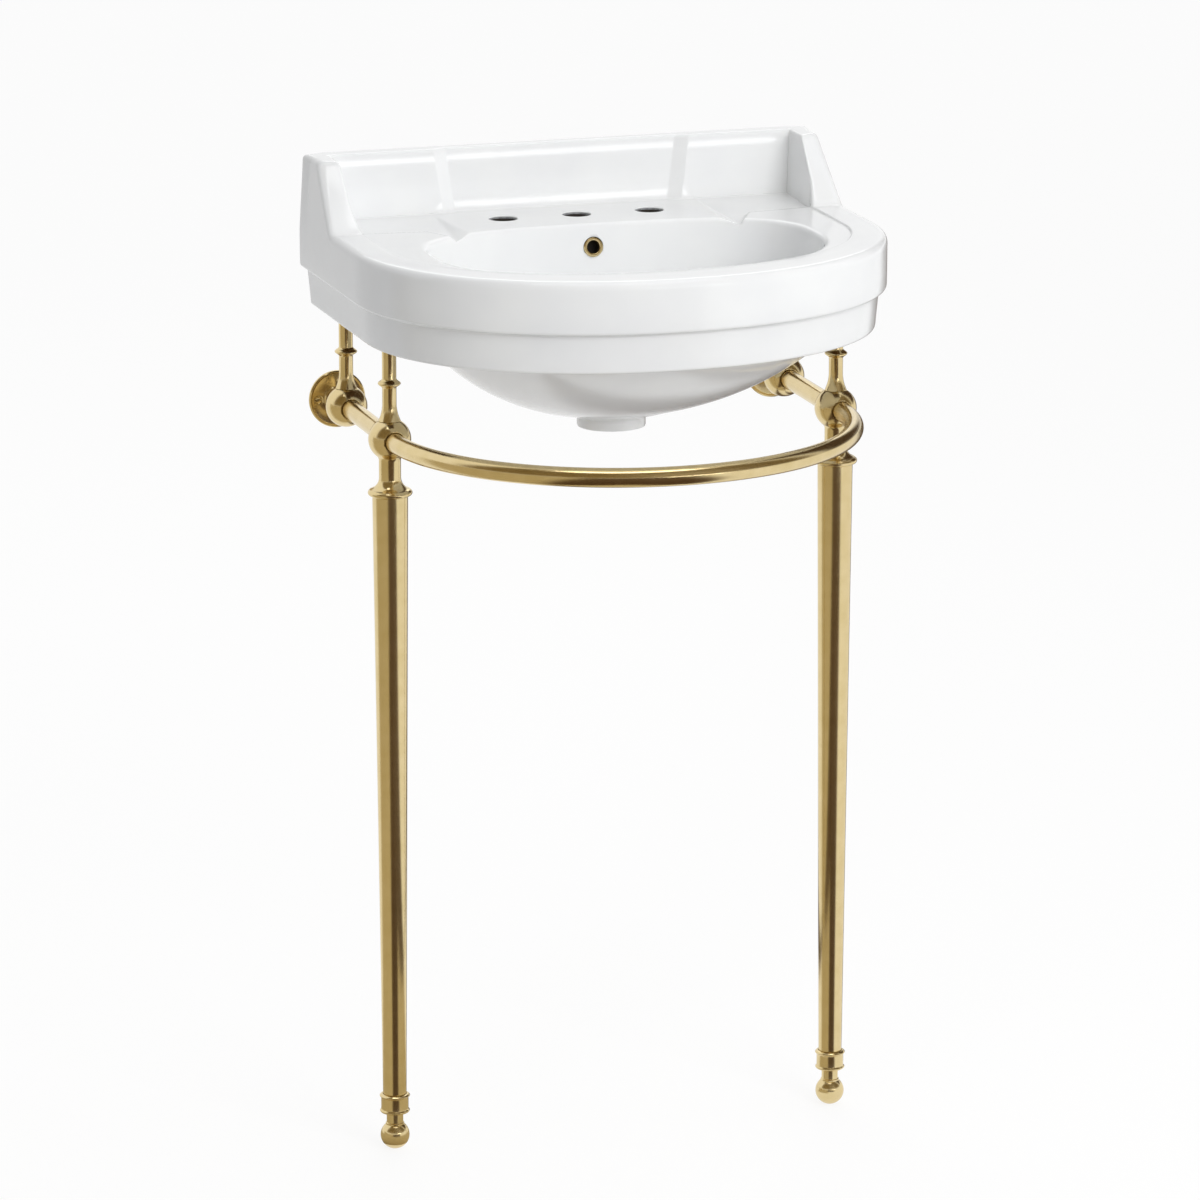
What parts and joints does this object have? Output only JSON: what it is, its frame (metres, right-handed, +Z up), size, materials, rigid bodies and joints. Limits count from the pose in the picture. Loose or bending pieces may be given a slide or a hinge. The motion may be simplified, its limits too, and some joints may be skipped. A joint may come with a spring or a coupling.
{
  "type": "console sink",
  "caption": "Glazed ceramic console basin with splashback and soap dishes on a brass stand with turned ball fittings, tapered legs and a bowed towel rail.",
  "frame": {"origin": "middle of the bounding box in plan, at floor level", "axes": "+X to the right of someone who faces the basin, +Y towards the wall, +Z up"},
  "size_m": [0.533, 0.4376, 0.975],
  "materials": {
    "glazed_china": "glossy white glaze on vitreous china",
    "gold_brass": "satin-polished gold",
    "white_nylon": "moulded",
    "zinc_steel": "zinc-plated"
  },
  "bodies": {
    "sink": {"basin": "glazed_china", "overflow_ring": "gold_brass", "towel_rail": "gold_brass", "front_ball_fitting_left": "gold_brass", "front_ball_fitting_right": "gold_brass", "rear_ball_fitting_left": "gold_brass", "rear_ball_fitting_right": "gold_brass", "support_post_front_left": "gold_brass", "support_post_front_right": "gold_brass", "support_post_rear_left": "gold_brass", "support_post_rear_right": "gold_brass", "post_pad_front_left": "white_nylon", "post_pad_front_right": "white_nylon", "post_pad_rear_left": "white_nylon", "post_pad_rear_right": "white_nylon", "post_stud_front_left": "zinc_steel", "post_stud_front_right": "zinc_steel", "post_stud_rear_left": "zinc_steel", "post_stud_rear_right": "zinc_steel", "leg_left": "gold_brass", "leg_right": "gold_brass", "leg_ferrule_left": "gold_brass", "leg_ferrule_right": "gold_brass", "wall_flange_left": "gold_brass", "wall_flange_right": "gold_brass", "flange_screw_left_outer": "gold_brass", "flange_screw_left_inner": "gold_brass", "flange_screw_right_outer": "gold_brass", "flange_screw_right_inner": "gold_brass"},
    "foot_left": {"ball_foot_left": "gold_brass"},
    "foot_right": {"ball_foot_right": "gold_brass"}
  },
  "joints": [
    {"name": "foot_left_screw", "type": "slide", "parent": "sink", "child": "foot_left", "axis": [0, 0, -1], "range_m": [0, 0.01]},
    {"name": "foot_right_screw", "type": "slide", "parent": "sink", "child": "foot_right", "axis": [0, 0, -1], "range_m": [0, 0.01]}
  ]
}
